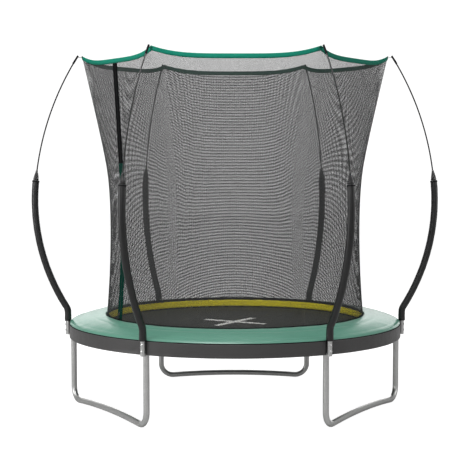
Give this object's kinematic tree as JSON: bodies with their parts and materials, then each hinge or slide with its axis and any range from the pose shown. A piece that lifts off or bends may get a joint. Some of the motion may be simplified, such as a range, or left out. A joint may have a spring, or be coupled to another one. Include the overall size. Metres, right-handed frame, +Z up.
{
  "type": "trampoline",
  "caption": "Round garden trampoline: sprung mat in a steel ring on U-shaped legs, padded edge, and a safety net with a zipped door hung from bowed poles.",
  "frame": {"origin": "on the ground under the centre of the mat", "axes": "+Z up, +X to the right and +Y to the back for someone who faces the front, with the door to the front left"},
  "size_m": [3.01, 2.6134, 2.5655],
  "materials": {
    "galvanised_tube": "matt hot-dip zinc with a faint spangle",
    "zinc_fastener": "bright zinc plate",
    "spring_steel": "zinc-plated spring wire",
    "black_plastic": "moulded, satin",
    "sleeve_vinyl": "glossy black PVC cover over a foam tube",
    "glass_fibre": "drawn rod, smooth",
    "black_webbing": "woven polypropylene",
    "mat_weave": "tight plain weave with a slight sheen",
    "white_tape": "matt printed tape",
    "pad_vinyl": "coated PVC cloth, satin",
    "skirt_vinyl": "coated PVC cloth, satin",
    "net_mesh": "open knitted mesh",
    "hem_green": "coated cloth",
    "net_yellow": "coated cloth",
    "zip_coil": "nylon coil",
    "zip_metal": "die-cast, grey",
    "white_plastic": "moulded, satin"
  },
  "bodies": {
    "frame": {"rail_1": "galvanised_tube", "rail_2": "galvanised_tube", "rail_3": "galvanised_tube", "rail_4": "galvanised_tube", "rail_5": "galvanised_tube", "rail_6": "galvanised_tube", "rail_screws": "zinc_fastener", "leg_left": "galvanised_tube", "leg_right": "galvanised_tube", "leg_back": "galvanised_tube", "pole_spacers": "black_plastic", "pole_bolts": "zinc_fastener", "pole_nuts": "zinc_fastener", "pole_1": "galvanised_tube", "pole_2": "galvanised_tube", "pole_3": "galvanised_tube", "pole_4": "galvanised_tube", "pole_5": "galvanised_tube", "pole_6": "galvanised_tube", "sleeve_1": "sleeve_vinyl", "sleeve_2": "sleeve_vinyl", "sleeve_3": "sleeve_vinyl", "sleeve_4": "sleeve_vinyl", "sleeve_5": "sleeve_vinyl", "sleeve_6": "sleeve_vinyl", "rod_1": "glass_fibre", "rod_2": "glass_fibre", "rod_3": "glass_fibre", "rod_4": "glass_fibre", "rod_5": "glass_fibre", "rod_6": "glass_fibre", "rod_ferrules": "black_plastic", "sleeve_caps": "sleeve_vinyl", "tie_rings": "black_webbing", "rod_pockets": "black_webbing", "springs": "spring_steel", "pad": "pad_vinyl", "pad_skirt": "skirt_vinyl", "pad_ties": "black_webbing", "net_1": "net_mesh", "net_2": "net_mesh", "net_3": "net_mesh", "net_4": "net_mesh", "net_5": "net_mesh", "net_6": "net_mesh", "net_hem": "hem_green", "net_piping": "black_webbing", "net_band": "net_yellow", "door_seam": "black_webbing", "zip_tape": "hem_green", "zip_coil": "zip_coil", "zip_foot": "black_webbing"},
    "mat": {"mat": "mat_weave", "mat_webbing": "black_webbing", "mat_cross": "white_tape", "mat_tabs": "black_webbing", "v_rings": "spring_steel"},
    "zip_slider": {"zip_slider": "zip_metal"},
    "zip_pull": {"zip_pull": "white_plastic"}
  },
  "joints": [
    {"name": "mat_bounce", "type": "slide", "parent": "frame", "child": "mat", "axis": [0, 0, 1], "range_m": [-0.3, 0], "stiffness_N_per_m": 6000, "springref_m": 0.01, "deforming": ["springs"]},
    {"name": "zip_travel", "type": "hinge", "parent": "frame", "child": "zip_slider", "pos_m": [-7.02953, -4.0585, 1.33], "axis": [0.5, -0.866, 0], "range_deg": [0, 8.3]},
    {"name": "zip_pull_swing", "type": "hinge", "parent": "zip_slider", "child": "zip_pull", "pos_m": [-0.82872, -0.47846, 0.71315], "axis": [-0.5, 0.866, 0], "range_deg": [0, 150]}
  ]
}
